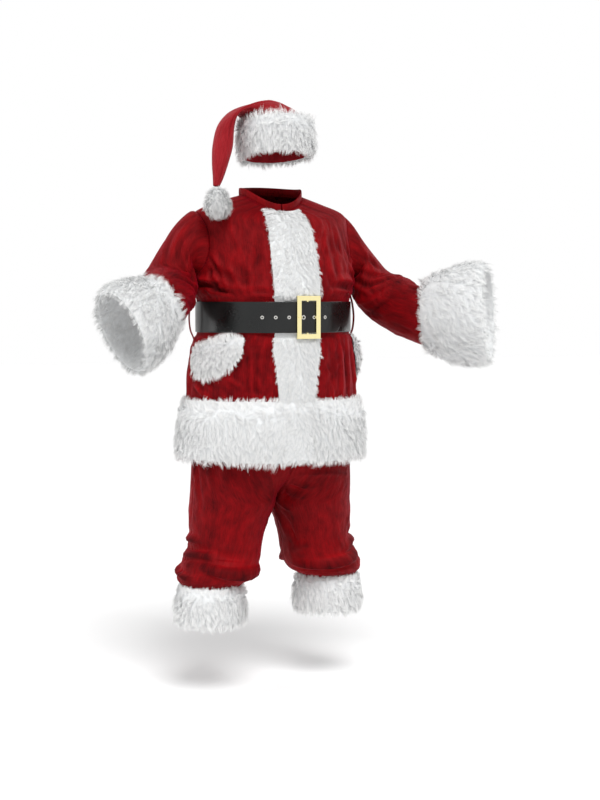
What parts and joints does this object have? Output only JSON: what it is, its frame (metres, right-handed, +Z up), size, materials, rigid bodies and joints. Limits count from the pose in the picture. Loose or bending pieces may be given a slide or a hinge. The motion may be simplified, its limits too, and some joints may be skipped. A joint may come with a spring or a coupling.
{
  "type": "santa suit",
  "caption": "Worn santa suit: fur-trimmed velvet jacket with a wide buckled belt, gathered trousers with fur leg bands, and a folded-over hat with a pompom.",
  "frame": {"origin": "middle of the neck opening at shoulder height, where the wearer's shoulders carry the jacket", "axes": "+Z up, -Y the wearer's front, +X the wearer's left"},
  "size_m": [1.3179, 0.649, 1.629],
  "materials": {
    "velvet": "crushed velvet, dark red, with a directional nap",
    "fur": "long white synthetic pile",
    "vinyl": "glossy black vinyl",
    "brass": "polished pale brass plating",
    "nickel": "nickel-plated steel"
  },
  "bodies": {
    "root": {"jacket_back": "velvet", "jacket_front_left": "velvet", "jacket_front_right": "velvet", "sleeve_left": "velvet", "sleeve_right": "velvet", "neckband": "velvet", "belt_loop_left": "velvet", "belt_loop_right": "velvet", "trouser_front_left": "velvet", "trouser_front_right": "velvet", "trouser_back_left": "velvet", "trouser_back_right": "velvet", "hat_crown": "velvet", "placket_fur": "fur", "hem_fur": "fur", "cuff_fur_left": "fur", "cuff_fur_right": "fur", "pocket_fur_left": "fur", "pocket_fur_right": "fur", "leg_fur_left": "fur", "leg_fur_right": "fur", "hat_fur": "fur", "hat_pompom": "fur", "belt_strap": "vinyl", "buckle_frame": "brass", "buckle_prong": "brass", "eyelet_1": "nickel", "eyelet_2": "nickel", "eyelet_3": "nickel", "eyelet_4": "nickel", "eyelet_5": "nickel", "eyelet_6": "nickel"}
  },
  "joints": []
}
